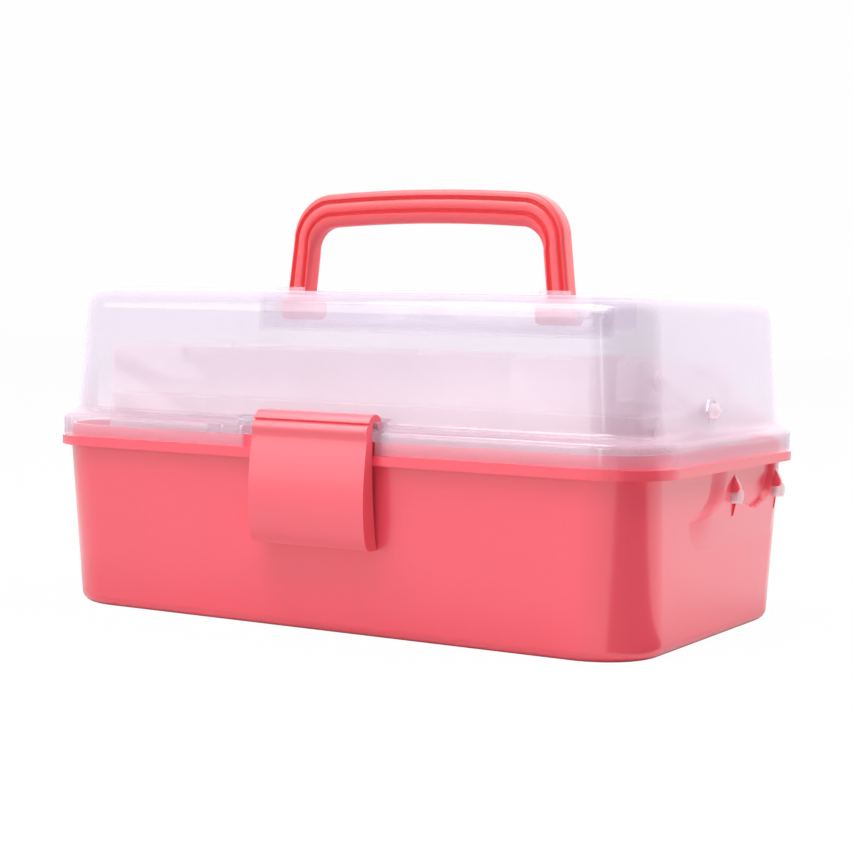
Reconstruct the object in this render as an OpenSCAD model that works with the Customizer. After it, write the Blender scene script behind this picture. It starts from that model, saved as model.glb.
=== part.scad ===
// Storage case with a hinged clear lid, a folding carry handle, a front latch and
// two trays that swing up on arms as the lid opens. Millimetres, +Z up, +Y to the
// back. The origin is the centre of the face that the case rests on.

/* [Base tub] */
// Length of the tub across its bottom
base_l = 313.5; // [290:0.5:340]
// Depth of the tub across its bottom, front to back
base_w = 185.4; // [176:0.2:200]
// Height of the tub up to its rim
base_h = 79; // [72:0.5:95]
// How much longer the tub is at the rim than at the bottom
flare_l = 3.5; // [2:0.5:6]
// How much deeper the tub is at the rim than at the bottom
flare_w = 7.6; // [6:0.2:9]
// Corner radius of the tub at the bottom
base_r = 31; // [26:1:36]
// Corner radius of the tub at the rim
top_r = 26; // [22:1:30]
// Thickness of the tub wall
base_t = 1.9; // [1.6:0.1:2.4]
// Thickness of the tub floor
floor_t = 2.2; // [1.8:0.1:3]
// Height of the rounded edge round the bottom
foot_round = 5.5; // [4:0.5:7]

/* [Rim] */
// Overhang of the rim at each end
rim_out_l = 6.5; // [6:0.5:8]
// Overhang of the rim at the front and the back
rim_out_w = 3.25; // [3.25:0.25:4]
// Height of the rim band
rim_h = 4.4; // [4:0.2:6]
// Thickness of the rim
rim_t = 1.6; // [1.2:0.1:1.8]
// Height of the lip that stands inside the lid skirt
lip_h = 6; // [4.5:0.5:6]

/* [Lid] */
// Thickness of the clear lid
lid_t = 1.8; // [1.4:0.1:2]
// Thickness of the lid skirt
skirt_t = 1.6; // [1.2:0.1:1.6]
// Height of the skirt round the rim
skirt_h = 11.3; // [11:0.5:14]
// Height of the sloping ledge above the skirt
ledge_h = 3.5; // [3:0.5:5]
// Height of the straight lid wall
lid_wall_h = 47.7; // [44:0.5:60]
// Height of the rounded edge round the lid top
crown_h = 10.3; // [9:0.5:12]
// How far the lid wall stands in from the skirt at each end
ledge_in_l = 6.75; // [6:0.25:7.5]
// How far the lid wall stands in from the skirt at the front and the back
ledge_in_w = 7.55; // [7:0.25:8]
// Width of the rounded edge at the lid ends
crown_in_l = 7.2; // [6:0.5:9]
// Width of the rounded edge at the lid front and back
crown_in_w = 12.6; // [11:0.5:14]

/* [Handle] */
// Thickness of the handle, front to back
handle_t = 11.5; // [9:0.5:12]
// Width of a handle leg
leg_w = 12; // [10:0.5:13]
// Depth of the grip bar
grip_h = 16.5; // [14:0.5:18]
// Height of the grip above the lid top
handle_rise = 51.5; // [45:0.5:54]
// Half the width across the handle legs at the lid top
leg_x = 79.8; // [74:0.5:82]
// How far each leg leans inward on its way up
leg_lean = 3.3; // [2:0.5:5]
// Radius of the outer bend of the handle
bend_r = 23; // [18:1:26]
// How much the top edge of the grip is crowned
grip_bow = 1.7; // [1:0.1:3]
// Width of a handle foot
foot_w = 21; // [18:0.5:23]
// Width of the grooves along the handle
groove_w = 2.4; // [1.2:0.1:2.8]
// Depth of the grooves along the handle
groove_d = 1.2; // [0.6:0.1:2]
// Radius of the pins that the handle feet turn on
stub_r = 2.5; // [2:0.25:3]
// Depth of the handle pivot below the lid top
pivot_drop = 8; // [7.5:0.5:9]
// Height of the stops in front of the handle legs
stop_h = 2.6; // [1.5:0.1:4]

/* [Latch] */
// Width of the latch
latch_w = 62; // [50:1:70]
// Drop of the latch from its rod to its lower edge
latch_drop = 55.2; // [45:0.5:60]
// Thickness of the latch plate
latch_t = 2.4; // [2:0.1:3]
// Bulge of the latch plate in front of its lower edge
latch_bow = 3.2; // [2:0.2:5]
// Radius of the rod that the latch turns on
rod_r = 2.2; // [1.8:0.1:2.5]
// Outer radius of the curl round the rod
curl_r = 6; // [5.4:0.1:6]

/* [Trays] */
// Room beside each tray for the arms, up to the foot of the lid wall
tray_room = 10.05; // [10.05:0.25:16]
// Height of each tray
tray_h = 24; // [20:0.5:24]
// Thickness of the tray walls and floor
tray_t = 1.5; // [1.2:0.1:1.8]
// Front face of both trays, in front of the middle of the case
tray_front = 70; // [60:0.5:74]
// Back face of the lower tray
lower_back = 72; // [70:0.5:74]
// Back face of the upper tray
upper_back = 42; // [34:0.5:44]
// Number of compartments in the lower tray
lower_cells = 5; // [2:1:6]
// Number of compartments in the upper tray
upper_cells = 5; // [2:1:7]
// Corner radius of the trays
tray_r = 7; // [5:0.5:9]
// Corner radius of the compartments
cell_r = 2.4; // [1.5:0.1:4]
// Overhang of the lips along the tray's front and back
tray_lip = 1.5; // [1:0.1:2]

/* [Arms and snap pins] */
// Thickness of the arms
arm_t = 2; // [1.6:0.1:2]
// Width of the arms
arm_w = 8.4; // [7.6:0.2:9]
// Radius of the snap pin shanks
pin_r = 2; // [1.6:0.1:2.2]
// Radius of the snap pin heads
head_r = 3.5; // [3.2:0.1:3.6]
// Thickness of the snap pin heads
head_t = 1.1; // [0.8:0.1:1.2]
// Radius of the split barbs that stand out of the case
barb_r = 2.8; // [2.5:0.1:3]
// Length of the split barbs that stand out of the case
barb_l = 4.5; // [3.5:0.5:5]
// Depth of the front arm pin behind the middle of the case
front_pin_y = 7.5; // [5:0.5:10]
// Spacing of the two arm pins on the base
pin_gap = 56; // [52:0.5:58]
// Drop of the arm pins below the rim
pin_drop = 13; // [12:0.5:14]
// How far the arms lean forward, pin to pin
arm_run = 59; // [56:0.5:60]
// Height of the lower tray's pins above the base pins
arm_rise = 31; // [30:0.5:32]
// Height of the upper tray's pins above the lower tray's pins
upper_rise = 24; // [23:0.5:24.5]
// Spacing of the lower tray's middle and rear pins
rear_gap = 55.5; // [50:0.5:56]
// Length of the split barbs inside the trays
tray_barb_l = 3; // [2.5:0.25:4]
// Thickness of the raised pads round the arm pins
pad_t = 1.2; // [0.8:0.1:1.6]
// Radius of the raised pads
pad_r = 8.5; // [7:0.5:9]
// Half the length of the straight part of the pads and their slots
pad_half = 5.5; // [4:0.5:7]

/* [Hinge] */
// Radius of the hinge knuckles
knuckle_r = 4.2; // [3.8:0.1:4.2]
// Radius of the hinge pins
hinge_pin_r = 1.5; // [1.2:0.1:1.8]
// Half the distance between the two hinges
hinge_x = 95; // [70:5:110]
// Length of the middle knuckle
knuckle_l = 14; // [10:1:20]

/* [Hidden] */
$fn = 72;

coral = "#fa6e7a";
coral_deep = "#ee6470";
clear = [0.93, 0.90, 0.95, 0.45];
milky = "#f3e3ea";
white = "#f7eef2";

// Clearances
run_gap = 0.06;     // round a turning pin
seat_gap = 0.3;     // between the lid and the rim
side_gap = 0.4;     // beside a moving piece
thin = 0.02;        // overlap where two bodies merge
corner_steps = 8;   // flats round a quarter turn of a layer
over = 1;           // how far a cut runs past a face
slot_d = 0.9;       // depth of the slots round the barbs in the pads

// Tub and rim
top_l = base_l + flare_l;
top_w = base_w + flare_w;
rim_l = top_l + 2 * rim_out_l;
rim_w = top_w + 2 * rim_out_w;
rim_r = top_r + 6;
rim_top = base_h + rim_h;
lip_top = rim_top + lip_h;

// Lid heights and plan sizes
lid_z = rim_top + seat_gap;
shoulder_z = lid_z + skirt_h;
wall_z = shoulder_z + ledge_h;
crown_z = wall_z + lid_wall_h;
lid_top = crown_z + crown_h;
skirt_l = rim_l - 2;
skirt_w = rim_w - 1.5;
skirt_r = rim_r - 1;
wall_l = skirt_l - 2 * ledge_in_l;
wall_w = skirt_w - 2 * ledge_in_w;
wall_r = 24.7;
lean_l = 6.7;       // the lid wall is this much shorter at its top
lean_w = 1.9;
crown_r = 16;

// Hinge axis
hinge_y = rim_w / 2 + 3.85;
hinge_z = rim_top + 2.6;

// Handle recess in the lid top
pivot_z = lid_top - pivot_drop;
foot_drop = 6;                              // from the pivot to the foot's underside
trough_front = -(handle_t / 2 + 2.65);
trough_back = 14;
trough_half = 95;
trough_floor = pivot_z - foot_drop - 4.1;
well_back = pivot_drop + handle_rise + 6.5;
well_half = leg_x + 4.2;
well_floor = pivot_z - handle_t / 2 - side_gap;
recess_t = 1.6;
recess_r = 4;

// Latch rod and the notch in the skirt
rod_y = -(skirt_w / 2 - 1);
rod_z = shoulder_z + 0.8;
notch_left = -(latch_w / 2 + 10);
notch_right = latch_w / 2 + 0.6;

// Layers at each end, from the trays outward
tray_l = wall_l - 2 * tray_room;
tray_x = tray_l / 2;
arm_x = tray_x + side_gap;
arm_out = arm_x + arm_t;
cap_gap = 0.1;
link_x = arm_out + head_t + 0.3;
link_out = link_x + arm_t;

// Trays
lower_z = lid_z + skirt_h + 9 - tray_h;
upper_z = lower_z + tray_h + side_gap;

// Pivots as [y, z]: base pins, lower tray pins, upper tray pins and the lid pin
reach = [-arm_run, arm_rise];
upper_reach = [-arm_run, upper_rise];
base_front = [front_pin_y, base_h - pin_drop];
base_rear = base_front + [pin_gap, -1];
low_front = base_front + reach;
low_mid = base_rear + reach;
low_rear = low_mid + [rear_gap, 4];
up_front = low_mid + upper_reach;
up_rear = low_rear + upper_reach;
lid_pivot = [-14.5, wall_z + 7.5];
lid_seat = 5;       // below the lid pin, where the leaning wall is widest
link_slot_r = pin_r + 1.8;

function end_x(z) = (base_l + flare_l * z / base_h) / 2;
function lid_end_x(z) = (wall_l - lean_l * (z - wall_z) / lid_wall_h) / 2;

// ---- shared shapes ----

// Four copies at the corner centres of a rounded rectangle
module corners(l, w, r)
    for (sx = [-1, 1], sy = [-1, 1])
        translate([sx * (l / 2 - r), sy * (w / 2 - r)])
            children();

module rounded(l, w, r) {
    square([l - 2 * r, w], center = true);
    square([l, w - 2 * r], center = true);
    corners(l, w, r)
        circle(r = r);
}

// Rounded block between two heights; its long sides lie at y0 and y1
module block(l, y0, y1, r, z0, z1)
    translate([0, (y0 + y1) / 2, z0])
        linear_extrude(z1 - z0)
            rounded(l, y1 - y0, r);

module plate(l, w, r, z0, z1)
    block(l, -w / 2, w / 2, r, z0, z1);

// Points round one layer, given as [length, width, corner radius, height]
function outline(t) = [for (q = [0:3], k = [0:corner_steps])
    let (a = 90 * (q + k / corner_steps),
        sx = q == 0 || q == 3 ? 1 : -1,
        sy = q < 2 ? 1 : -1)
    [sx * (t[0] / 2 - t[2]) + t[2] * cos(a), sy * (t[1] / 2 - t[2]) + t[2] * sin(a), t[3]]];

// Closed solid through such layers, from the lowest to the highest
module layers(list) {
    n = 4 * (corner_steps + 1);
    polyhedron(
        points = [for (t = list, p = outline(t)) p],
        faces = concat(
            [[for (k = [0:n - 1]) k]],
            [for (i = [0:len(list) - 2], k = [0:n - 1])
                let (a = i * n + k, b = i * n + (k + 1) % n)
                [a, a + n, b + n, b]],
            [[for (k = [n - 1:-1:0]) (len(list) - 1) * n + k]]));
}

// Runs a y-z outline along x, starting at x0
module along_x(x0, length)
    translate([x0, 0, 0])
        rotate([90, 0, 90])
            linear_extrude(length)
                children();

// Round bar along x, at [y, z]
module rod_x(at, r, x0, x1)
    translate([x0, at[0], at[1]])
        rotate([0, 90, 0])
            cylinder(r = r, h = x1 - x0);

module both_ends() {
    children();
    mirror([1, 0, 0])
        children();
}

// ---- base tub ----

// Layers of the tub: grown is negative for the inside of the wall
function tub_layers(grown, z0, z1, edge) = concat(
    [for (a = [0:22.5:90])
        let (cut = edge * (1 - sin(a)))
        [base_l + 2 * (grown - cut), base_w + 2 * (grown - cut),
            base_r + grown - cut, z0 + edge * (1 - cos(a))]],
    [[top_l + 2 * grown, top_w + 2 * grown, top_r + grown, z1]]);

module pin_pad(at) {
    pad_x = end_x(at[1]);
    // Raised pad outside the wall
    along_x(pad_x - base_t / 2, base_t / 2 + pad_t)
        stadium([at[0], at[1] - pad_half], [at[0], at[1] + pad_half], pad_r);
    // Boss inside, up to the arm
    rod_x(at, head_r + 1, arm_out + side_gap / 2, pad_x - base_t / 2);
}

module pin_pad_cuts(at) {
    pad_out = end_x(at[1]) + pad_t;
    rod_x(at, pin_r + run_gap / 2, arm_out - over, pad_out + over);
    along_x(pad_out - slot_d, slot_d + over)
        stadium([at[0], at[1] - pad_half + 0.3], [at[0], at[1] + pad_half - 0.3], barb_r + 0.3);
}

module base_tub()
    color(coral)
        difference() {
            union() {
                difference() {
                    union() {
                        layers(tub_layers(0, 0, base_h, foot_round));
                        plate(rim_l, rim_w, rim_r, base_h, rim_top);
                        plate(top_l, top_w, top_r, base_h - over, lip_top);
                    }
                    layers(tub_layers(-base_t, floor_t, base_h, foot_round));
                    plate(top_l - 2 * base_t, top_w - 2 * base_t, top_r - base_t,
                        base_h - thin, lip_top + over);
                    // Open channel under the rim
                    difference() {
                        plate(rim_l - 2 * rim_t, rim_w - 2 * rim_t, rim_r - rim_t,
                            base_h - over, rim_top - rim_t);
                        plate(top_l, top_w, top_r, base_h - 2 * over, rim_top);
                    }
                }
                both_ends() {
                    pin_pad(base_front);
                    pin_pad(base_rear);
                    translate([hinge_x - knuckle_l / 2, rim_w / 2 - rim_t, base_h])
                        cube([knuckle_l, hinge_y - rim_w / 2 + rim_t, rim_h]);
                    rod_x([hinge_y, hinge_z], knuckle_r, hinge_x - knuckle_l / 2,
                        hinge_x + knuckle_l / 2);
                }
            }
            both_ends() {
                pin_pad_cuts(base_front);
                pin_pad_cuts(base_rear);
                rod_x([hinge_y, hinge_z], hinge_pin_r + run_gap,
                    hinge_x - knuckle_l, hinge_x + knuckle_l);
            }
        }

// ---- lid ----

// Layers of the lid from its lower edge to its top, moved inward by inset
function lid_layers(inset, z0) = concat(
    [for (t = [[0, z0], [0, shoulder_z - 3 - inset / 2], [0.9, shoulder_z - 0.9 - inset],
            [3, shoulder_z - inset]])
        [skirt_l - 2 * (t[0] + inset), skirt_w - 2 * (t[0] + inset), skirt_r - t[0] - inset, t[1]]],
    [[wall_l - 2 * inset, wall_w - 2 * inset, wall_r - inset, wall_z - inset]],
    [for (a = [0:18:90])
        let (back = 1 - cos(a))
        [wall_l - lean_l - 2 * (inset + crown_in_l * back),
            wall_w - lean_w - 2 * (inset + crown_in_w * back),
            wall_r - inset - (wall_r - crown_r) * back,
            crown_z + (crown_h - inset) * sin(a)]]);

module recess(wall, z_top) {
    block(2 * (trough_half + wall), trough_front - wall, trough_back + wall, recess_r + wall,
        trough_floor - wall, z_top);
    block(2 * (well_half + wall), trough_back - 2 * recess_r - wall, well_back + wall,
        recess_r + wall, well_floor - wall, z_top);
}

module lid_knuckle(x0)
    difference() {
        union() {
            rod_x([hinge_y, hinge_z], knuckle_r, x0, x0 + knuckle_l / 2);
            translate([x0, skirt_w / 2 - skirt_t, hinge_z + 0.6])
                cube([knuckle_l / 2, hinge_y - skirt_w / 2 + skirt_t, knuckle_r - 0.6]);
        }
        rod_x([hinge_y, hinge_z], hinge_pin_r + run_gap / 2, x0 - over, x0 + knuckle_l);
    }

module lid_shell()
    color(clear)
        difference() {
            union() {
                difference() {
                    layers(lid_layers(0, lid_z));
                    layers(lid_layers(lid_t, lid_z - over));
                    // Notch for the latch, through the skirt and the ledge
                    translate([notch_left, -rim_w, lid_z - over])
                        cube([notch_right - notch_left, rim_w - wall_w / 2 - 0.1,
                            wall_z - lid_z + over - 0.1]);
                }
                recess(recess_t, lid_top - thin);
                // Stops that keep the handle from falling forward
                both_ends()
                    translate([leg_x - leg_w - 0.8, trough_front - recess_t, lid_top - over])
                        cube([leg_w + 4.2, recess_t, stop_h + over]);
                // Wall behind the notch
                translate([notch_left - skirt_t, -wall_w / 2, lid_z])
                    cube([notch_right - notch_left + 2 * skirt_t, skirt_t, wall_z - lid_z]);
                // Cheeks and the rod that the latch turns on
                for (x = [notch_left - skirt_t, notch_right])
                    along_x(x, skirt_t)
                        polygon([[-skirt_w / 2 + 0.6, lid_z], [-skirt_w / 2 + 0.6, shoulder_z],
                            [rod_y - 1.5, rod_z + rod_r + 0.6], [-wall_w / 2 + 0.6, wall_z],
                            [-wall_w / 2 + 0.6, lip_top + side_gap],
                            [-top_w / 2 - side_gap, lip_top + side_gap],
                            [-top_w / 2 - side_gap, lid_z]]);
                rod_x([rod_y, rod_z], rod_r, notch_left - skirt_t / 2, notch_right + skirt_t / 2);
                both_ends() {
                    // Bosses that carry the link pins
                    rod_x(lid_pivot, head_r + 0.5, link_out + side_gap / 2,
                        lid_end_x(lid_pivot[1]) - lid_t / 2);
                    lid_knuckle(hinge_x + knuckle_l / 2 + side_gap);
                    lid_knuckle(hinge_x - knuckle_l - side_gap);
                }
            }
            recess(0, lid_top + over);
            both_ends() {
                rod_x([0, pivot_z], stub_r + run_gap / 2, trough_half - over,
                    trough_half + recess_t + over);
                rod_x(lid_pivot, pin_r + run_gap / 2, link_x, skirt_l / 2);
            }
        }

// ---- handle ----

// Half-width of a leg's outer edge at height z
function leg_edge(z) = leg_x - leg_lean * (z - lid_top) / (handle_rise - bend_r);

// Outline at a distance in from the outer edge: in_leg on the legs, in_grip on the grip
function arch(in_leg, in_grip) =
    let (r = bend_r - 10 * in_grip / grip_h,
        bend_z = lid_top + handle_rise - grip_bow - in_grip - r,
        bend_x = leg_edge(bend_z) - in_leg - r,
        top_z = lid_top + handle_rise - in_grip,
        half = concat(
            [[leg_edge(lid_top - 4) - in_leg, lid_top - 4]],
            [for (a = [0:9:90]) [bend_x + r * cos(a), bend_z + r * sin(a)]],
            [for (k = [1:5])
                let (x = bend_x * (1 - k / 5))
                [x, top_z - grip_bow * pow(x / bend_x, 2)]]))
    concat(half, [for (k = [len(half) - 2:-1:0]) [-half[k][0], half[k][1]]]);

// Strip between two such outlines
module strip(outer, inner)
    polygon(concat(arch(outer[0], outer[1]),
        [for (k = [2 * 17 - 2:-1:0]) arch(inner[0], inner[1])[k]]));

// A groove whose middle runs at these distances from the outer edge
module groove(in_leg, in_grip)
    strip([in_leg - groove_w / 2, in_grip - groove_w / 2],
        [in_leg + groove_w / 2, in_grip + groove_w / 2]);

module handle_foot() {
    foot_x = leg_x - leg_w / 2 - 0.85;
    foot_top = lid_top - 3.2;
    translate([foot_x, (pivot_z - foot_drop + foot_top) / 2])
        rounded(foot_w, foot_top - pivot_z + foot_drop, 3);
    translate([leg_x - leg_w, pivot_z])
        square([leg_w, lid_top - pivot_z]);
}

module carry_handle()
    color(coral_deep) {
        difference() {
            translate([0, handle_t / 2, 0])
                rotate([90, 0, 0])
                    linear_extrude(handle_t) {
                        strip([0, 0], [leg_w, grip_h]);
                        both_ends()
                            handle_foot();
                    }
            for (y = [-handle_t / 2 - over, handle_t / 2 - groove_d])
                translate([0, y + groove_d + over, 0])
                    rotate([90, 0, 0])
                        linear_extrude(groove_d + over) {
                            groove(leg_w * 0.2, grip_h * 0.24);
                            groove(leg_w * 0.765, grip_h * 0.63);
                        }
            // Bores for the pins that it turns on
            both_ends()
                rod_x([0, pivot_z], stub_r + run_gap, leg_x - leg_w + 2, trough_half);
        }
    }

// Pins pushed through the ends of the trough into the handle's feet
module handle_pins()
    color(clear)
        both_ends() {
            rod_x([0, pivot_z], stub_r, leg_x - leg_w + 3, trough_half + recess_t + over);
            rod_x([0, pivot_z], stub_r + 1.2, trough_half + recess_t + cap_gap,
                trough_half + recess_t + cap_gap + 1.2);
        }

// ---- latch ----

// Distance from the hinge axis beyond which a point clears the rim as the lid opens
clear_r = norm([hinge_y + rim_w / 2, hinge_z - base_h]) + side_gap;
function clear_y(z) = hinge_y - sqrt(clear_r * clear_r - pow(hinge_z - z, 2));

module front_latch() {
    low_z = rod_z - latch_drop;
    front_y = rod_y - curl_r;
    // Front face from the lower edge up to the curl, bulging forward between them
    face = [for (k = [0:12])
        [front_y - 0.6 * (1 - k / 12) - latch_bow * sin(180 * pow(k / 12, 0.8)),
            low_z + 2.4 + (latch_drop - 2.4) * k / 12]];
    back = [for (k = [0:6])
        let (z = rod_z - 5 - (latch_drop - 5) * k / 6)
        [min(clear_y(z), -rim_w / 2 - side_gap - (z > base_h ? 0 : -9)), z]];
    color(coral)
        difference() {
            union() {
                along_x(-latch_w / 2, latch_w)
                    difference() {
                        translate([rod_y, rod_z])
                            circle(r = curl_r);
                        translate([rod_y, rod_z - curl_r - 0.5])
                            square([curl_r + over, curl_r]);
                    }
                along_x(-latch_w / 2, latch_w)
                    polygon(concat([[front_y + 2, low_z]], face, [[rod_y, rod_z]], back));
            }
            // Hollow behind the plate, between the side walls
            along_x(-latch_w / 2 + latch_t, latch_w - 2 * latch_t)
                polygon(concat(
                    [for (p = face) if (p[1] < rod_z - 4) [p[0] + latch_t, max(p[1], low_z + latch_t)]],
                    [[front_y + latch_t + 1, rod_z - 6], [0, rod_z - 6], [0, low_z + latch_t]]));
            rod_x([rod_y, rod_z], rod_r + run_gap, -latch_w, latch_w);
            // Mouth that snaps over the rod from above
            along_x(-latch_w, 2 * latch_w)
                translate([rod_y - rod_r * 0.9, rod_z - curl_r - over])
                    square([rod_r * 1.8 + 0.2, curl_r + over]);
        }
}

// ---- trays ----

module tray(z0, back, cells, pins) {
    cell_l = (tray_l - (cells + 1) * tray_t) / cells;
    face_y = tray_front - tray_lip;
    color(milky)
        difference() {
            union() {
                block(tray_l, -face_y, back - tray_lip, tray_r, z0, z0 + tray_h);
                // Lips along the front and the back edge
                block(tray_l - 2 * tray_r, -tray_front, back, 2 * tray_lip,
                    z0 + tray_h - tray_t + 0.1, z0 + tray_h);
            }
            for (k = [0:cells - 1])
                translate([-tray_l / 2 + tray_t + cell_l / 2 + k * (cell_l + tray_t), 0, 0])
                    block(cell_l, -face_y + tray_t, back - tray_lip - tray_t, cell_r,
                        z0 + tray_t, z0 + tray_h + over);
            both_ends()
                for (p = pins)
                    rod_x(p, pin_r + run_gap / 2, tray_x - tray_t - over, tray_x + over);
        }
}

module lower_tray()
    tray(lower_z, lower_back, lower_cells, [low_front, low_mid, low_rear]);

module upper_tray()
    tray(upper_z, upper_back, upper_cells, [up_front, up_rear]);

// ---- arms and links ----

// Flat with round ends, from point a to point b
module stadium(a, b, r) {
    d = b - a;
    translate(a)
        rotate(atan2(d[1], d[0]))
            translate([0, -r])
                square([norm(d), 2 * r]);
    for (p = [a, b])
        translate(p)
            circle(r = r);
}

// Arm through its pivots, with an eye at each
module arm(x0, pivots)
    color(white)
        along_x(x0, arm_t)
            difference() {
                union() {
                    for (k = [0:len(pivots) - 2])
                        stadium(pivots[k], pivots[k + 1], arm_w / 2);
                    for (p = pivots)
                        translate(p)
                            circle(r = arm_w / 2 + 0.8);
                }
                for (p = pivots)
                    translate(p)
                        circle(r = pin_r + run_gap);
            }

module right_side(side)
    mirror([side < 0 ? 1 : 0, 0, 0])
        children();

module long_arm(side)
    right_side(side)
        arm(arm_x, [base_rear, low_mid, up_front]);

module front_arm(side)
    right_side(side)
        arm(arm_x, [base_front, low_front]);

module upper_arm(side)
    right_side(side)
        arm(arm_x, [low_rear, up_rear]);

// The link's eye at the lid has room for the pin to wander
module lid_link(side)
    right_side(side)
        color(white)
            along_x(link_x, arm_t)
                difference() {
                    union() {
                        stadium(low_rear, lid_pivot, arm_w / 2);
                        translate(lid_pivot)
                            circle(r = link_slot_r + 2);
                        translate(low_rear)
                            circle(r = arm_w / 2 + 0.8);
                    }
                    translate(lid_pivot)
                        circle(r = link_slot_r);
                    translate(low_rear)
                        circle(r = pin_r + run_gap);
                }

// ---- pins ----

// Snap pin along x: flat head, shank from head_x to seat_x, then a split barb
module snap_pin(at, head_x, seat_x, flat_r, barb, length) {
    dir = sign(seat_x - head_x);
    color(white)
        translate([head_x, at[0], at[1]])
            rotate([0, dir * 90, 0])
                difference() {
                    union() {
                        translate([0, 0, -head_t])
                            cylinder(r = flat_r, h = head_t);
                        cylinder(r = pin_r, h = abs(seat_x - head_x) + length - 0.5);
                        translate([0, 0, abs(seat_x - head_x) + cap_gap])
                            cylinder(r = barb, h = length * 0.6);
                        translate([0, 0, abs(seat_x - head_x) + cap_gap + length * 0.6])
                            cylinder(r1 = barb, r2 = pin_r * 0.8, h = length * 0.4 - cap_gap);
                    }
                    translate([-barb - over, -0.45, abs(seat_x - head_x) + length * 0.3])
                        cube([2 * (barb + over), 0.9, length]);
                }
}

module base_snap_pins()
    both_ends()
        for (p = [base_front, base_rear])
            snap_pin(p, arm_x - cap_gap, end_x(p[1]) + pad_t - slot_d, head_r, barb_r, barb_l + slot_d);

module lid_snap_pins()
    both_ends()
        snap_pin(lid_pivot, link_x - cap_gap, lid_end_x(lid_pivot[1] - lid_seat),
            link_slot_r + 1.8, barb_r + 0.6, barb_l);

module tray_pin(p, outer)
    snap_pin(p, outer + cap_gap, tray_x - tray_t, head_r, barb_r - 0.3, tray_barb_l);

module lower_tray_snap_pins()
    both_ends() {
        tray_pin(low_front, arm_out);
        tray_pin(low_mid, arm_out);
        tray_pin(low_rear, link_out);
    }

module upper_tray_snap_pins()
    both_ends() {
        tray_pin(up_front, arm_out);
        tray_pin(up_rear, arm_out);
    }

// Hinge pin with a small head, pushed in from the outer side
module hinge_pin(side)
    right_side(side)
        color(white) {
            rod_x([hinge_y, hinge_z], hinge_pin_r, hinge_x - knuckle_l - side_gap,
                hinge_x + knuckle_l + 2 * side_gap);
            rod_x([hinge_y, hinge_z], hinge_pin_r + 1, hinge_x + knuckle_l + 1.5 * side_gap,
                hinge_x + knuckle_l + 1.5 * side_gap + 1.2);
        }

base_tub();
lid_shell();
carry_handle();
front_latch();
lower_tray();
upper_tray();
long_arm(-1);  // long_arm_left
long_arm(1);  // long_arm_right
front_arm(-1);  // front_arm_left
front_arm(1);  // front_arm_right
upper_arm(-1);  // upper_arm_left
upper_arm(1);  // upper_arm_right
lid_link(-1);  // lid_link_left
lid_link(1);  // lid_link_right
hinge_pin(-1);  // hinge_pin_left
hinge_pin(1);  // hinge_pin_right
handle_pins();
base_snap_pins();
lid_snap_pins();
lower_tray_snap_pins();
upper_tray_snap_pins();
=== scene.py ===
import math

import bmesh
import bpy
from mathutils import Matrix, Vector


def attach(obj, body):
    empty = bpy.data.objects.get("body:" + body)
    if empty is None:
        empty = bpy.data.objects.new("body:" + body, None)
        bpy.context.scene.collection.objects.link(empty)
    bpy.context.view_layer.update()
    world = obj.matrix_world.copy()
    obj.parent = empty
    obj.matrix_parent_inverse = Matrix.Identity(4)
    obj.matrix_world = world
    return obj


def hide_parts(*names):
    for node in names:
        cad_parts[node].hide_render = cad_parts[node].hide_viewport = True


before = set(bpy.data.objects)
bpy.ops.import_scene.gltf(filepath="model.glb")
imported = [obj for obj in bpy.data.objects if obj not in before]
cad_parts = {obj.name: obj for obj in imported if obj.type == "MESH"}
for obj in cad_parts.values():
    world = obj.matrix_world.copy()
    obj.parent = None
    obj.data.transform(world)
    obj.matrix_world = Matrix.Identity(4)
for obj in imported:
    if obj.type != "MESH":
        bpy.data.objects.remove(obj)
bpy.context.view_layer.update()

# ---- Camera ----
# A long lens at table height, a little to the right of the case's front, so that
# the front and a sliver of the right end show.

lens = bpy.data.cameras.new("camera")
lens.sensor_fit = "HORIZONTAL"
lens.sensor_width = 36
lens.lens = 81.0
camera = bpy.data.objects.new("camera", lens)
bpy.context.collection.objects.link(camera)
camera.matrix_world = Matrix((
    (0.866954, -0.048189, 0.496053, 0.47537),
    (0.497980, 0.043488, -0.866097, -0.82798),
    (0.020164, 0.997891, 0.061700, 0.14975),
    (0, 0, 0, 1)))
bpy.context.scene.camera = camera
bpy.context.scene.view_settings.view_transform = "Standard"

# ---- Studio ----
# A pale table in a bright room, with a large soft box at the front left, a panel high
# at the back right, one overhead, and a narrow strip that is seen only as a gleam. A
# black cloth, seen only in reflections, darkens the corner next to the end.


class Socket:
    """An output of a material's node, used in sums like a number."""

    def __init__(self, paint, socket):
        self.paint, self.socket = paint, socket

    def sum(self, operation, first, second):
        return self.paint.node("Math", {"operation": operation}, {0: first, 1: second})

    def __add__(self, other):
        return self.sum("ADD", self, other)

    def __sub__(self, other):
        return self.sum("SUBTRACT", self, other)

    def __rsub__(self, other):
        return self.sum("SUBTRACT", other, self)

    def __mul__(self, other):
        return self.sum("MULTIPLY", self, other)

    def __pow__(self, other):
        return self.sum("POWER", self, other)

    __radd__, __rmul__ = __add__, __mul__


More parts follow.
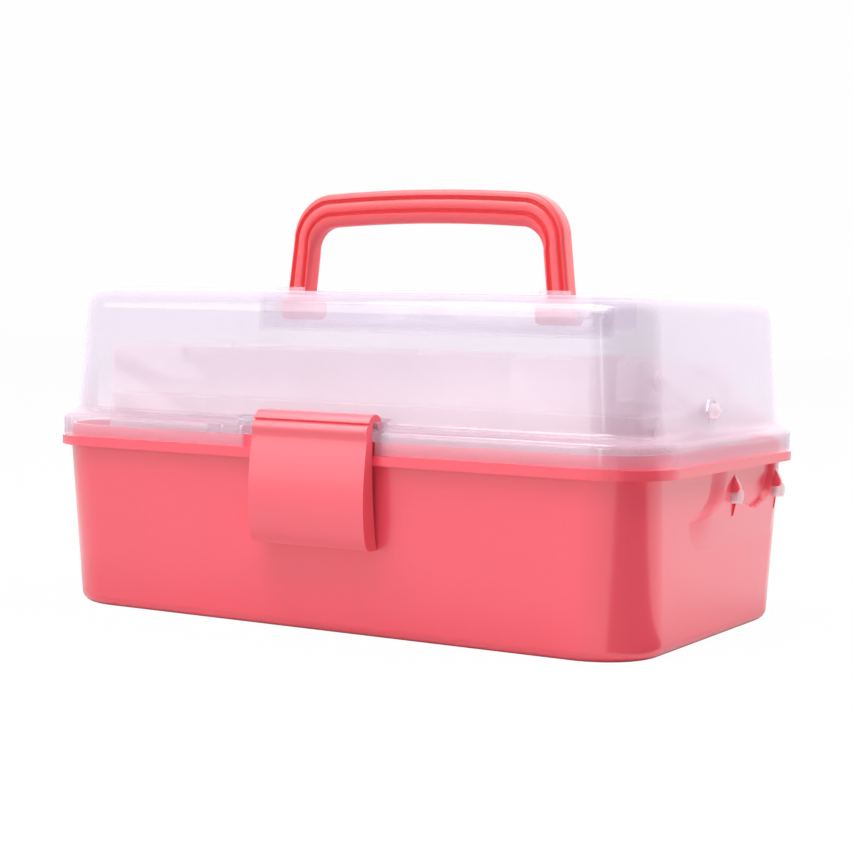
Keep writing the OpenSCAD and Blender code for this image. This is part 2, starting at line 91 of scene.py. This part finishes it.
class Paint:
    """The node tree of a material or of the surround."""

    def __init__(self, owner):
        owner.use_nodes = True
        self.owner, self.tree = owner, owner.node_tree
        self.tree.nodes.clear()

    def node(self, kind, settings={}, sockets={}, out=0):
        made = self.tree.nodes.new("ShaderNode" + kind)
        for name, value in settings.items():
            if name == "stops":
                ramp = made.color_ramp.elements
                while len(ramp) < len(value):
                    ramp.new(0.5)
                for stop, (place, colour) in zip(ramp, value):
                    stop.position, stop.color = place, colour
            else:
                setattr(made, name, value)
        for name, value in sockets.items():
            if isinstance(value, Socket):
                self.tree.links.new(value.socket, made.inputs[name])
            else:
                made.inputs[name].default_value = value
        return Socket(self, made.outputs[out]) if made.outputs else None

    def let_through(self, shader, colour, glow, solid, gloss=None, shine=None):
        """Ends a see-through plastic, which scatters light on but throws little shadow."""
        body = self.node("MixShader", {}, {
            0: glow, 1: shader, 2: self.node("BsdfTranslucent", {}, {"Color": colour})})
        lit = 1 - self.node("LightPath", out="Is Shadow Ray") * 0.75
        plastic = self.node("MixShader", {}, {
            0: lit * solid, 1: self.node("BsdfTransparent"), 2: body})
        if gloss:
            plastic = self.node("MixShader", {}, {0: lit * shine, 1: plastic, 2: gloss})
        self.node("OutputMaterial", {}, {"Surface": plastic})


def soft_box(name, place, aim, width, height, radiance, diffuse=True, glossy=True):
    light = bpy.data.lights.new(name, "AREA")
    light.shape, light.size, light.size_y = "RECTANGLE", width, height
    light.energy = radiance * math.pi * width * height
    lamp = bpy.data.objects.new(name, light)
    lamp.visible_diffuse, lamp.visible_glossy = diffuse, glossy
    bpy.context.collection.objects.link(lamp)
    lamp.location = place
    lamp.rotation_euler = (Vector(aim) - Vector(place)).to_track_quat("-Z", "Y").to_euler()
    lamp.visible_camera = False


soft_box("key_box", (-1.15, -1.75, 1.25), (0, 0, 0.1), 1.2, 1.5, 2.1)
soft_box("front_strip", (0.32, -2.0, 0.35), (0, 0, 0.1), 0.16, 1.1, 2.0, diffuse=False)
soft_box("end_panel", (0.85, 0.75, 1.45), (0.1, 0, 0.08), 1.1, 0.9, 7.4, glossy=False)
soft_box("top_box", (-0.2, -0.6, 1.5), (0, -0.05, 0.1), 1.3, 0.7, 6.4)

# The camera sees white all round, and reflections see a room that darkens to the right.
surround = Paint(bpy.data.worlds.new("surround"))
bpy.context.scene.world = surround.owner
seen = surround.node("LightPath", out="Is Camera Ray")
glossy = surround.node("LightPath", out="Is Glossy Ray")
through = surround.node("LightPath", out="Is Transmission Ray")
looked_at = surround.node("Math", {"operation": "MAXIMUM"}, {0: seen, 1: through})
right = surround.node("VectorMath", {"operation": "DOT_PRODUCT"}, {
    0: surround.node("TexCoord", out="Generated"), 1: (0.93, -0.36, 0)}, "Value")
open_side = surround.node("ValToRGB", {"stops": [
    (0.0, (1, 1, 1, 1)), (0.65, (0.03, 0.03, 0.03, 1))]}, {"Fac": right})
around = surround.node("MixShader", {}, {
    0: glossy,
    1: surround.node("Background", {}, {"Color": (1, 1, 1, 1), "Strength": 0.32}),
    2: surround.node("Background", {}, {"Color": open_side, "Strength": 2.0})})
surround.node("OutputWorld", {}, {"Surface": surround.node("MixShader", {}, {
    0: looked_at, 1: around,
    2: surround.node("Background", {}, {"Color": (1, 1, 1, 1), "Strength": 0.99})})})

table_mesh = bmesh.new()
bmesh.ops.create_grid(table_mesh, x_segments=1, y_segments=1, size=6)
bmesh.ops.translate(table_mesh, vec=(0, 0, -0.0004), verts=table_mesh.verts)
table = bpy.data.objects.new("table", bpy.data.meshes.new("table"))
table_mesh.to_mesh(table.data)
bpy.context.collection.objects.link(table)
white = Paint(bpy.data.materials.new("white_table"))
white.node("OutputMaterial", {}, {"Surface": white.node("MixShader", {}, {
    0: white.node("LightPath", out="Is Camera Ray") * 0.98,
    1: white.node("BsdfDiffuse", {}, {"Color": (0.7, 0.7, 0.7, 1)}),
    2: white.node("Emission", {}, {"Color": (1, 1, 1, 1), "Strength": 1.0})})})
table.data.materials.append(white.owner)

flag = bpy.data.objects.new("black_flag", bpy.data.meshes.new("black_flag"))
flag_mesh = bmesh.new()
for corners in (((0.15, -0.1, 0), (0.9, -0.95, 0), (1.3, 0.12, 0), (0.175, -0.03, 0)),
                ((0.6, -0.75, 0), (1.1, 0.1, 0), (1.1, 0.1, 0.6), (0.6, -0.75, 0.6))):
    flag_mesh.faces.new([flag_mesh.verts.new(c) for c in corners])
flag_mesh.to_mesh(flag.data)
bpy.context.collection.objects.link(flag)
flag.visible_camera = flag.visible_diffuse = flag.visible_shadow = flag.visible_transmission = False
black = Paint(bpy.data.materials.new("black_cloth"))
black.node("OutputMaterial", {}, {
    "Surface": black.node("BsdfDiffuse", {}, {"Color": (0.01, 0.01, 0.01, 1)})})
flag.data.materials.append(black.owner)

# ---- Base tub ----
# One deep coral tub of injection-moulded plastic with slightly leaning walls and
# a folded-over rim whose lip stands inside the lid. Its end walls swell round the
# arm pins, and its back rim carries two hinge knuckles.


def srgb(red, green, blue):
    """A colour read off a screen, from 0 to 255, as the shader takes it."""
    def linear(v):
        v /= 255
        return v / 12.92 if v <= 0.04045 else ((v + 0.055) / 1.055) ** 2.4
    return linear(red), linear(green), linear(blue), 1


def moulded_plastic(name, colour, roughness, coat):
    """Opaque moulded plastic: faint flow clouds, a fine satin grain and slight ripples."""
    paint = Paint(bpy.data.materials.new(name))
    at = paint.node("TexCoord", out="Object")
    clouds = paint.node("TexNoise", {}, {"Vector": at, "Scale": 9.0, "Detail": 3.0})
    grains = paint.node("TexNoise", {}, {"Vector": at, "Scale": 2600.0, "Detail": 2.0})
    ripple = paint.node("TexNoise", {}, {"Vector": at, "Scale": 22.0, "Detail": 1.0})
    darker = [c * 0.95 for c in colour[:3]] + [1]
    lighter = [min(1, c * 1.05) for c in colour[:3]] + [1]
    tint = paint.node("Mix", {"data_type": "RGBA"}, {0: clouds, 6: darker, 7: lighter}, 2)
    fine = paint.node("Bump", {}, {"Height": grains, "Strength": 0.05, "Distance": 0.0002})
    relief = paint.node("Bump", {}, {
        "Height": ripple, "Strength": 0.06, "Distance": 0.002, "Normal": fine})
    shader = paint.node("BsdfPrincipled", {}, {
        "Base Color": tint, "Roughness": clouds * 0.08 + (grains * 0.06 + (roughness - 0.07)),
        "IOR": 1.49, "Specular IOR Level": 0.75, "Coat Weight": coat, "Coat Roughness": 0.15,
        "Normal": relief})
    paint.node("OutputMaterial", {}, {"Surface": shader})
    return paint.owner


def inset_by(size, inset, height):
    """A layer at a height, whose length, width and corner radius shrink by an inset all round."""
    length, width, radius = size
    return length - 2 * inset, width - 2 * inset, radius - inset, height


def loft(layers, steps=14):
    """A closed skin through rounded rectangles (length, width, radius, height) in mm."""
    mesh = bmesh.new()
    rings = []
    for length, width, radius, height in layers:
        before = set(mesh.faces)
        corners = [mesh.verts.new((sx * length / 2, sy * width / 2, height))
                   for sx, sy in ((-1, -1), (1, -1), (1, 1), (-1, 1))]
        mesh.faces.new(corners)
        bmesh.ops.bevel(mesh, geom=corners, offset=radius, offset_type="OFFSET",
                        segments=steps, profile=0.5, affect="VERTICES", material=-1)
        rings.append((set(mesh.faces) - before).pop())
    edges = [list(ring.edges) for ring in rings]
    bmesh.ops.delete(mesh, geom=rings[1:-1], context="FACES_ONLY")
    for low, high in zip(edges, edges[1:]):
        bmesh.ops.bridge_loops(mesh, edges=low + high)
    bmesh.ops.recalc_face_normals(mesh, faces=mesh.faces)
    return mesh


def thickened(mesh, faces, x):
    """The mesh made a closed solid by extruding its faces by x mm along the case."""
    grown = bmesh.ops.extrude_face_region(mesh, geom=faces)["geom"]
    bmesh.ops.translate(mesh, vec=(x, 0, 0),
                        verts=[v for v in grown if isinstance(v, bmesh.types.BMVert)])
    bmesh.ops.recalc_face_normals(mesh, faces=mesh.faces)
    return mesh


def extruded(outline, x0, x1):
    """A solid with a y-z outline, from x0 to x1, in mm."""
    mesh = bmesh.new()
    face = mesh.faces.new([mesh.verts.new((x0, y, z)) for y, z in outline])
    return thickened(mesh, [face], x1 - x0)


def barrel(y, z, radius, x0, x1, end_radius=None, segments=40):
    """A round bar or cone along x, from x0 to x1, in mm."""
    mesh = bmesh.new()
    bmesh.ops.create_cone(
        mesh, cap_ends=True, segments=segments, radius1=radius,
        radius2=radius if end_radius is None else end_radius, depth=abs(x1 - x0),
        matrix=Matrix.Translation(((x0 + x1) / 2, y, z))
        @ Matrix.Rotation(math.pi / 2 if x1 > x0 else -math.pi / 2, 4, "Y"))
    return mesh


def moved(mesh, x=0, y=0, z=0):
    bmesh.ops.translate(mesh, vec=(x, y, z), verts=mesh.verts)
    return mesh


def at_right(mesh):
    """The solid where it was drawn, at the right end of the case."""
    return mesh


def mirrored(mesh):
    """The same solid at the left end of the case."""
    twin = mesh.copy()
    bmesh.ops.scale(twin, vec=(-1, 1, 1), verts=twin.verts)
    bmesh.ops.reverse_faces(twin, faces=twin.faces)
    return twin


def combine(mesh, operation, *tools):
    """Joins closed solids to a mesh (UNION) or cuts them out of it (DIFFERENCE)."""
    for tool in tools:
        pair = []
        for source in (mesh, tool):
            data = bpy.data.meshes.new("blank")
            source.to_mesh(data)
            pair.append(bpy.data.objects.new("blank", data))
            bpy.context.collection.objects.link(pair[-1])
        cut = pair[0].modifiers.new("cut", "BOOLEAN")
        cut.operation, cut.object, cut.solver = operation, pair[1], "EXACT"
        result = pair[0].evaluated_get(bpy.context.evaluated_depsgraph_get())
        mesh.clear()
        mesh.from_mesh(result.to_mesh())
        result.to_mesh_clear()
        for blank in pair:
            bpy.data.objects.remove(blank)
    return mesh


def piece(name, mesh, body, material, replaced, edge=0.0, angle=35):
    """Shows a mesh drawn in mm as a piece of the case, with its sharp edges rounded by edge mm."""
    bmesh.ops.remove_doubles(mesh, verts=mesh.verts, dist=0.001)
    bmesh.ops.scale(mesh, vec=(0.001, 0.001, 0.001), verts=mesh.verts)
    data = bpy.data.meshes.new(name)
    mesh.to_mesh(data)
    mesh.free()
    data.shade_smooth()
    made = bpy.data.objects.new(name, data)
    bpy.context.collection.objects.link(made)
    data.materials.append(material)
    if edge:
        rounding = made.modifiers.new("rounded_edges", "BEVEL")
        rounding.width, rounding.segments = edge / 1000, 2
        rounding.limit_method, rounding.angle_limit = "ANGLE", math.radians(angle)
        rounding.harden_normals = True
    else:
        data.set_sharp_from_angle(angle=math.radians(angle))
    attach(made, body)
    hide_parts(*replaced)
    return made


base_plastic = moulded_plastic("coral_base_plastic", srgb(249, 78, 98), 0.3, 0.8)

foot, lip, rim = (313.5, 185.4, 31), (317, 193, 26), (330, 199.5, 32)
rim_edge, rim_top, lip_top = 79, 83.4, 89.4
tub_wall, tub_floor, rim_wall, foot_rounding = 1.9, 2.2, 1.6, 5.5
arm_pins = ((7.5, 66), (63.5, 65))
pin_bore = 2.03
hinge_y, hinge_z, hinge_x = 103.6, 86, 95
knuckle, half_knuckle = 4.2, 7


def foot_skin(inset, floor):
    """Layers of the tub's outer or inner face, round the edge of its bottom."""
    layers = []
    for k in range(9):
        a = math.radians(90 * k / 8)
        layers.append(inset_by(foot, inset + foot_rounding * (1 - math.sin(a)),
                               floor + foot_rounding * (1 - math.cos(a))))
    return layers


tub = loft(foot_skin(0, 0) + [
    inset_by(lip, 0, rim_edge), inset_by(lip, -0.2, rim_top - rim_wall),
    inset_by(rim, rim_wall, rim_top - rim_wall), inset_by(rim, rim_wall, rim_edge),
    inset_by(rim, 0, rim_edge), inset_by(rim, 0, rim_top),
    inset_by(lip, 0, rim_top), inset_by(lip, 0, lip_top),
    inset_by(lip, tub_wall, lip_top), inset_by(lip, tub_wall, rim_edge)]
    + foot_skin(tub_wall, tub_floor)[::-1])


def wall_at(z):
    """Half the length and width over the tub's walls, and their corner radius, at a height."""
    rise = z / rim_edge
    length, width, radius = [low + (high - low) * rise for low, high in zip(foot, lip)]
    return length / 2, width / 2, radius


def eased(v):
    """From 0 to 1 as v does, level at both ends."""
    v = min(1, max(0, v))
    return v * v * (3 - 2 * v)


# The end wall swells round its pins: two mounds under the rim that spread and meet below.
mound_middles = (-1.5, 73.5)
mound_root, mound_swell = 0.3, 2.9
mounds = bmesh.new()
bmesh.ops.create_grid(mounds, x_segments=110, y_segments=44, size=1)
for v in mounds.verts:
    y, z = 14 + 62 * v.co.x, 59 + 21 * v.co.y
    reach = 16.5 + 20 * math.exp((59.5 - z) / 4.5)
    flank = 18 if y < mound_middles[0] else 5
    swell = max(eased((reach - abs(y - middle)) / flank) for middle in mound_middles)
    swell *= eased((z - 38) / 26) * eased((y + 46) / 30) * eased((74 - y) / 10)
    end_wall, back_wall, radius = wall_at(z)
    past = max(0, y - (back_wall - radius))
    rounded = end_wall - radius + math.sqrt(radius ** 2 - past ** 2)
    v.co = (rounded - mound_root + mound_swell * swell, y, z)
thickened(mounds, list(mounds.faces), -1.4)
for side in (at_right, mirrored):
    combine(tub, "UNION", side(mounds))
for y, z in arm_pins:
    mound_face = wall_at(z)[0] + 1.4
    boss = barrel(y, z, 4.5, 149.8, mound_face - 2.35)
    hood = moved(loft([(9.6, 9.6, 4.75, z + 2), (8.6, 8.6, 4.25, z + 5), (1.6, 1.6, 0.75, z + 11.2)]),
                 mound_face, y)
    slot = extruded([(y - 3.9, z + 1), (y + 3.9, z + 1), (y + 3.9, z - 2.5), (y + 1.6, z - 9.4),
                     (y - 1.6, z - 9.4), (y - 3.9, z - 2.5)], mound_face, mound_face + 6.6)
    bore = barrel(y, z, pin_bore, 148, mound_face + 6.6)
    for side in (at_right, mirrored):
        combine(tub, "UNION", side(boss), side(hood))
        combine(tub, "DIFFERENCE", side(slot), side(bore))
for x in (-hinge_x, hinge_x):
    x0, x1 = x - half_knuckle, x + half_knuckle
    root = [(98.2, rim_edge), (hinge_y, rim_edge), (hinge_y, rim_top), (98.2, rim_top)]
    combine(tub, "UNION", barrel(hinge_y, hinge_z, knuckle, x0, x1), extruded(root, x0, x1))
    combine(tub, "DIFFERENCE", barrel(hinge_y, hinge_z, 1.56, x0 - 2, x1 + 2))
shown_tub = piece("tub", tub, "base", base_plastic, ["base_tub"], 0.35)
shown_tub.modifiers.new("even_shading", "WEIGHTED_NORMAL").keep_sharp = True

# ---- Lid ----
# One clear, faintly frosted shell: a skirt that drops round the tub's lip, a
# sloping ledge, the tall wall and a rounded crown. The handle folds into a recess
# in its top, and a notch in the front of the skirt holds the latch's rod.


def frosted_clear(name, colour, haze, edge_haze, roughness):
    """See-through plastic: milky haze that thickens where the wall is seen edge-on."""
    paint = Paint(bpy.data.materials.new(name))
    at = paint.node("TexCoord", out="Object")
    clouds = paint.node("TexNoise", {}, {"Vector": at, "Scale": 14.0, "Detail": 3.0})
    slant = paint.node("LayerWeight", {}, {"Blend": 0.5}, "Facing")
    relief = paint.node("Bump", {}, {"Height": clouds, "Strength": 0.03, "Distance": 0.002})
    shader = paint.node("BsdfPrincipled", {}, {
        "Base Color": colour, "IOR": 1.49, "Specular IOR Level": 0.3, "Normal": relief,
        "Roughness": clouds * 0.06 + 0.4})
    gloss = paint.node("BsdfGlossy", {}, {
        "Color": (1, 1, 1, 1), "Roughness": roughness, "Normal": relief})
    paint.let_through(
        shader, colour, 0.45, slant ** 3.0 * edge_haze + (clouds * 0.05 + (haze - 0.025)),
        gloss, slant ** 5.0 * 0.25 + 0.045)
    return paint.owner


def bar(x0, x1, y0, y1, z0, z1):
    return extruded([(y0, z0), (y1, z0), (y1, z1), (y0, z1)], x0, x1)


def pan(length, width, radius, floor, top, y=0, steps=14):
    """A block with round upright corners, softened round its bottom, with its middle at y."""
    size = length, width, radius
    return moved(loft([inset_by(size, 1.5, floor), inset_by(size, 0.45, floor + 0.45),
                       inset_by(size, 0, floor + 1.5), inset_by(size, 0, top)], steps), y=y)


skirt, ledge_edge = (328, 198, 31), (317.6, 186, 26.2)
ledge_turn, wall_foot = (315.4, 183.8, 25.1), (314.5, 182.9, 24.7)
wall_top, crown_pull = (307.8, 181, 24.7), (7.2, 12.6, 8.7)
skirt_edge, shoulder_z, shoulder_radius = 83.7, 92, 3
ledge_z, crown_z, crown_height, lid_top = 98.4, 146.2, 10.3, 156.4
lid_wall, skirt_wall, recess_wall = 1.8, 1.6, 1.6
lid_pin_y, lid_pin_z = -14.5, 106
handle_pin_z = 148.5


def lid_skin(inset, skirt_inset):
    """Layers of the lid's outer or inner face, from the skirt's edge to the crown."""
    bend = shoulder_z - skirt_inset / 2
    layers = [inset_by(skirt, skirt_inset, skirt_edge), inset_by(skirt, skirt_inset, bend)]
    for k in range(1, 6):
        a = math.pi / 2 * k / 5
        layers.append(inset_by(skirt, skirt_inset + shoulder_radius * (1 - math.cos(a)),
                               bend + (shoulder_radius - skirt_inset / 2) * math.sin(a)))
    layers += [inset_by(ledge_edge, inset, 96.8 - skirt_inset),
               inset_by(ledge_turn, inset, 98 - skirt_inset),
               inset_by(wall_foot, inset, 99.2 - skirt_inset)]
    for k in range(13):
        a = math.pi / 2 * k / 12
        pull_x, pull_y, pull_radius = [pull * (1 - math.cos(a)) for pull in crown_pull]
        length, width, radius = wall_top
        layers.append((length - 2 * (inset + pull_x), width - 2 * (inset + pull_y),
                       radius - inset - pull_radius,
                       crown_z + (crown_height - inset) * math.sin(a)))
    return layers


clear = frosted_clear("clear_lid_plastic", srgb(222, 214, 231), 0.25, 0.45, 0.15)

notch_left, notch_right, notch_back = -41, 31.6, -91.55
rod_y, rod_z = -98, 95.8
lid = loft(lid_skin(lid_wall, skirt_wall)[::-1] + lid_skin(0, 0), 16)
combine(lid, "DIFFERENCE", bar(notch_left, notch_right, -110, notch_back, 80, ledge_z))


def recess(wall, top):
    """The handle's recess: a cross trough for the feet and a well behind it for the grip."""
    return [pan(190 + 2 * wall, 22.4 + 2 * wall, 4 + wall, 138.4 - wall, top, 2.8),
            pan(168 + 2 * wall, 60 + 2 * wall, 4 + wall, 142.35 - wall, top, 36)]


stop = extruded([(-10, 155), (-8.4, 155), (-8.4, 158.3), (-8.75, 159.1), (-9.65, 159.1),
                 (-10, 158.3)], 67, 83.2)
combine(lid, "UNION", *recess(recess_wall, lid_top), stop, mirrored(stop))
combine(lid, "DIFFERENCE", *recess(0, lid_top + 1.6))

# The notch is closed behind and at both ends, and the latch's rod spans it.
cheek = [(-98.4, skirt_edge), (-98.4, 95), (-99.5, 98.6), (-90.85, 98.5), (-90.85, 89.7),
         (-96.9, 89.7), (-96.9, skirt_edge)]
left_cheek, right_cheek = notch_left - skirt_wall, notch_right + skirt_wall
combine(lid, "UNION", bar(left_cheek, right_cheek, -91.45, -89.85, skirt_edge, 98.45),
        extruded(cheek, left_cheek, notch_left), extruded(cheek, notch_right, right_cheek),
        barrel(rod_y, rod_z, 2.2, notch_left - 0.8, notch_right + 0.8))
for x0, x1, z0, z1 in ((-60, -53.5, 88.9, 94), (-51, -42.8, 88.4, 94.4)):
    combine(lid, "UNION", bar(x0, x1, -99.9, -98.2, z0, z1))

# Six-sided collars hold the lid's pins, and the knuckles sit on both sides of the tub's.
for side in (at_right, mirrored):
    combine(lid, "UNION", side(barrel(lid_pin_y, lid_pin_z, 4, 153.2, 156.2)),
            side(barrel(lid_pin_y, lid_pin_z, 6.6, 155.6, 157.9, 6.0, 6)))
    combine(lid, "DIFFERENCE", side(barrel(lid_pin_y, lid_pin_z, 4.9, 157.2, 160, 5.4, 6)))
    combine(lid, "DIFFERENCE", side(barrel(lid_pin_y, lid_pin_z, pin_bore, 150, 164)),
            side(barrel(0, handle_pin_z, 2.53, 94, 98)))
    for x0 in (hinge_x - 14.4, hinge_x + 7.4):
        x1 = x0 + half_knuckle
        combine(lid, "UNION", side(barrel(hinge_y, hinge_z, knuckle, x0, x1)),
                side(bar(x0, x1, 97.4, hinge_y, 86.6, 90.2)))
    combine(lid, "DIFFERENCE", side(barrel(hinge_y, hinge_z, 1.53, hinge_x - 17, hinge_x + 17)))
piece("lid", lid, "lid", clear, ["lid_shell"])

# ---- Carry handle ----
# A coral bail, moulded in one with a crowned grip. Two grooves run all the way round
# its front and back, and its broad feet turn on clear pins in the ends of the recess.

handle_plastic = moulded_plastic("coral_handle_plastic", srgb(251, 90, 95), 0.38, 0.1)

foot_half, leg_foot, leg_width, leg_lean = 79.8, 152.5, 12, 3.3 / 28.5
grip_top, grip_crown, grip_width = 208, 1.7, 16.5


def bail_edge(t):
    """Points along the bail at t of its width, from the right foot to the left one."""
    r = 23 - 10 * t
    bend_z = grip_top - grip_crown - grip_width * t - r
    bend_x = foot_half - leg_lean * (bend_z - 156.5) - leg_width * t - r
    half = [(foot_half + 0.46 - leg_width * t, leg_foot)]
    for k in range(16):
        a = math.pi / 2 * k / 15
        half.append((bend_x + r * math.cos(a), bend_z + r * math.sin(a)))
    for k in range(1, 13):
        out = 1 - k / 12
        half.append((bend_x * out, grip_top - grip_width * t - grip_crown * out ** 2))
    return half + [(-x, z) for x, z in half[-2::-1]]


def bail_section(width):
    """Outline across the bail: three rounded ridges with two grooves on each face."""
    share = min(1, max(0, (width - leg_width) / (grip_width - leg_width)))
    grooves = 2.4 + 1.6 * share, 9.2 + 1.2 * share
    half_groove = 1.2
    outer, inner = grooves[0] - half_groove, width - grooves[1] - half_groove
    turn = [math.pi / 2 * k / 7 for k in range(8)]
    front = [(outer - outer * math.cos(a), -3.25 - 2.2 * math.sin(a)) for a in turn]
    for middle in grooves:
        front += [(middle + d, y) for d, y in ((-1.02, -5.1), (-0.8, -4.2), (-0.45, -3.6), (0, -3.4),
                                              (0.45, -3.6), (0.8, -4.2), (1.02, -5.1))]
        if middle == grooves[0]:
            ridge = grooves[1] - middle - 2 * half_groove
            front += [(middle + half_groove + ridge * (k + 0.5) / 7,
                       -5.75 + 0.3 * ((k + 0.5) / 3.5 - 1) ** 2) for k in range(7)]
    front += [(width - inner + inner * math.sin(a), -2.15 - 3.4 * math.cos(a)) for a in turn]
    return front + [(s, -y) for s, y in front[::-1]]


bail = bmesh.new()
last = None
for (x0, z0), (x1, z1) in zip(bail_edge(0), bail_edge(1)):
    width = math.hypot(x1 - x0, z1 - z0)
    loop = [bail.verts.new((x0 + (x1 - x0) * s / width, y, z0 + (z1 - z0) * s / width))
            for s, y in bail_section(width)]
    face = bail.faces.new(loop)
    edges = list(face.edges)
    if last:
        bmesh.ops.bridge_loops(bail, edges=last + edges)
        if x0 > -79:
            bmesh.ops.delete(bail, geom=[face], context="FACES_ONLY")
    last = edges
bmesh.ops.recalc_face_normals(bail, faces=bail.faces)

foot_block = loft([(19.6, 9.4, 2.6, -5.75), (20.6, 10.4, 2.9, -5.35), (21, 10.8, 3, -4.8),
                   (21, 10.8, 3, 4.8), (20.6, 10.4, 2.9, 5.35), (19.6, 9.4, 2.6, 5.75)], 6)
bmesh.ops.rotate(foot_block, matrix=Matrix.Rotation(math.pi / 2, 3, "X"), verts=foot_block.verts)
moved(foot_block, 72.95, 0, handle_pin_z - 0.6)
for side in (at_right, mirrored):
    combine(bail, "UNION", side(foot_block))
    combine(bail, "DIFFERENCE", side(barrel(0, handle_pin_z, 2.56, 69.8, 90)))
piece("handle", bail, "handle", handle_plastic, ["carry_handle"])

# ---- Latch ----
# A broad coral flap that hangs from the rod in the lid's notch. Its top curls over
# the rod and its side walls stiffen the bowed plate.

latch_plastic = moulded_plastic("coral_latch_plastic", srgb(248, 92, 108), 0.33, 0.5)

half_latch, latch_wall = 31, 2.4
plate_foot = 43
bowed_face = []
for k in range(15):
    up = k / 16
    bow = 3.2 * math.sin(math.pi * up ** 0.8)
    bowed_face.append((-104 - 0.6 * (1 - up) - bow, plate_foot + (rod_z - plate_foot) * up))
second_roll = [(-104.9, 91.6), (-105.4, 92.4), (-105.6, 93.6), (-105.5, 94.8), (-105, 95.9),
               (-104.2, 96.7), (-102.6, 97.3)]
roll = []
for k in range(17):
    a = 0.4 + k * (math.pi + 0.15 - 0.4) / 16
    roll.append((rod_y - 6 * math.cos(a), rod_z + 6 * math.sin(a)))

# The side walls' back edges follow the lid's swing about its hinge, to clear the rim.
swing = math.hypot(203.35, 7) + 0.3
back_edge = []
for k in range(8):
    z = 94 - 53.4 * k / 7
    clearing = hinge_y - math.sqrt(swing ** 2 - (hinge_z - z) ** 2)
    back_edge.append((min(clearing, -100.15 if z > rim_edge else -91.15), z))
latch = extruded([(-102, 40.6)] + bowed_face + second_roll + roll + [(-92.2, 94.9), (-96, 94.9)]
                 + back_edge, -half_latch, half_latch)
hollow = [(y + latch_wall, z) for y, z in bowed_face]
combine(latch, "DIFFERENCE",
        extruded(hollow + [(-100.6, 89.8), (-60, 89.8), (-60, plate_foot)],
                 latch_wall - half_latch, half_latch - latch_wall),
        barrel(rod_y, rod_z, 2.26, -40, 40), bar(-40, 40, -99.98, -95.84, 85, rod_z))
piece("latch", latch, "latch", latch_plastic, ["front_latch"], 0.7, 40)

# ---- Trays ----
# Two shallow trays of thin milky plastic, one over the other, moulded with four
# dividers each. Snap pins through their ends hold them on the arms.


def milky_plastic(name, colour, alpha):
    """Thin milky plastic that lets some light and colour through."""
    paint = Paint(bpy.data.materials.new(name))
    at = paint.node("TexCoord", out="Object")
    clouds = paint.node("TexNoise", {}, {"Vector": at, "Scale": 12.0, "Detail": 3.0})
    tint = paint.node("Mix", {"data_type": "RGBA"}, {
        0: clouds, 6: [c * 0.96 for c in colour[:3]] + [1], 7: colour}, 2)
    relief = paint.node("Bump", {}, {"Height": clouds, "Strength": 0.04, "Distance": 0.002})
    shader = paint.node("BsdfPrincipled", {}, {
        "Base Color": tint, "Roughness": clouds * 0.08 + 0.36, "IOR": 1.49, "Normal": relief})
    paint.let_through(shader, colour, 0.4, clouds * 0.06 + (alpha - 0.03))
    return paint.owner


tray_plastic = milky_plastic("milky_tray_plastic", srgb(255, 240, 246), 0.34)
tray_length, tray_height, tray_wall, cells = 294.4, 24, 1.5, 5
tray_front = -70


def tray(name, low, back, pivots, node):
    """A tray from its bottom's height and its back edge, with bores for the pins at its ends."""
    width, middle = back - tray_front - 3, (back + tray_front) / 2
    top = low + tray_height
    cell = (tray_length - tray_wall * (cells + 1)) / cells
    mesh = pan(tray_length, width, 7, low, top, middle)
    edge = (280.4, back - tray_front, 3)
    combine(mesh, "UNION", moved(loft([edge + (top - 1.4,), edge + (top,)]), y=middle))
    for k in range(cells):
        room = pan(cell, width - 2 * tray_wall, 2.4, low + tray_wall, top + 2, middle, 6)
        combine(mesh, "DIFFERENCE", moved(
            room, -tray_length / 2 + tray_wall + cell / 2 + k * (cell + tray_wall)))
    for y, z in pivots:
        bore = barrel(y, z, pin_bore, 144, 149)
        combine(mesh, "DIFFERENCE", bore, mirrored(bore))
    piece(name, mesh, node, tray_plastic, [node], 0.25, 50)


tray("deep_tray", 80, 72, [(-51.5, 97), (4.5, 96), (60, 100)], "lower_tray")
tray("short_tray", 104.4, 42, [(-54.5, 120), (1, 124)], "upper_tray")

# ---- Arms, links and pins ----
# Flat white arms and links turn on snap pins with a flat head inside and a split
# barb outside. Plain white pins hold the hinges, and clear ones the handle's feet.

fitting_plastic = milky_plastic("white_fitting_plastic", srgb(250, 236, 241), 0.6)


def softened(node, body, edge, material=fitting_plastic, added=()):
    """The CAD piece with its edges rounded."""
    mesh = bmesh.new()
    mesh.from_mesh(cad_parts[node].data)
    bmesh.ops.scale(mesh, vec=(1000, 1000, 1000), verts=mesh.verts)
    bmesh.ops.remove_doubles(mesh, verts=mesh.verts, dist=0.002)
    bmesh.ops.dissolve_limit(mesh, angle_limit=0.01, verts=mesh.verts, edges=mesh.edges)
    combine(mesh, "UNION", *added)
    piece(node + "_moulded", mesh, body, material, [node], edge)


for end in ("left", "right"):
    softened("long_arm_" + end, "long_arms", 0.3)
    softened("front_arm_" + end, "front_arms", 0.3)
    softened("upper_arm_" + end, "upper_arms", 0.3)
    softened("lid_link_" + end, "lid_links", 0.3)
    softened("hinge_pin_" + end, "lid", 0.2)
pin_end = wall_at(arm_pins[-1][1])[0] + 6.4
barrels = [barrel(y, z, 3.5, pin_end - 4.2, pin_end, 3.3) for y, z in arm_pins]
softened("base_snap_pins", "base", 0.25, added=barrels + [mirrored(end) for end in barrels])
softened("lid_snap_pins", "lid", 0.25)
softened("handle_pins", "lid", 0.25, clear)
softened("lower_tray_snap_pins", "lower_tray", 0.2)
softened("upper_tray_snap_pins", "upper_tray", 0.2)
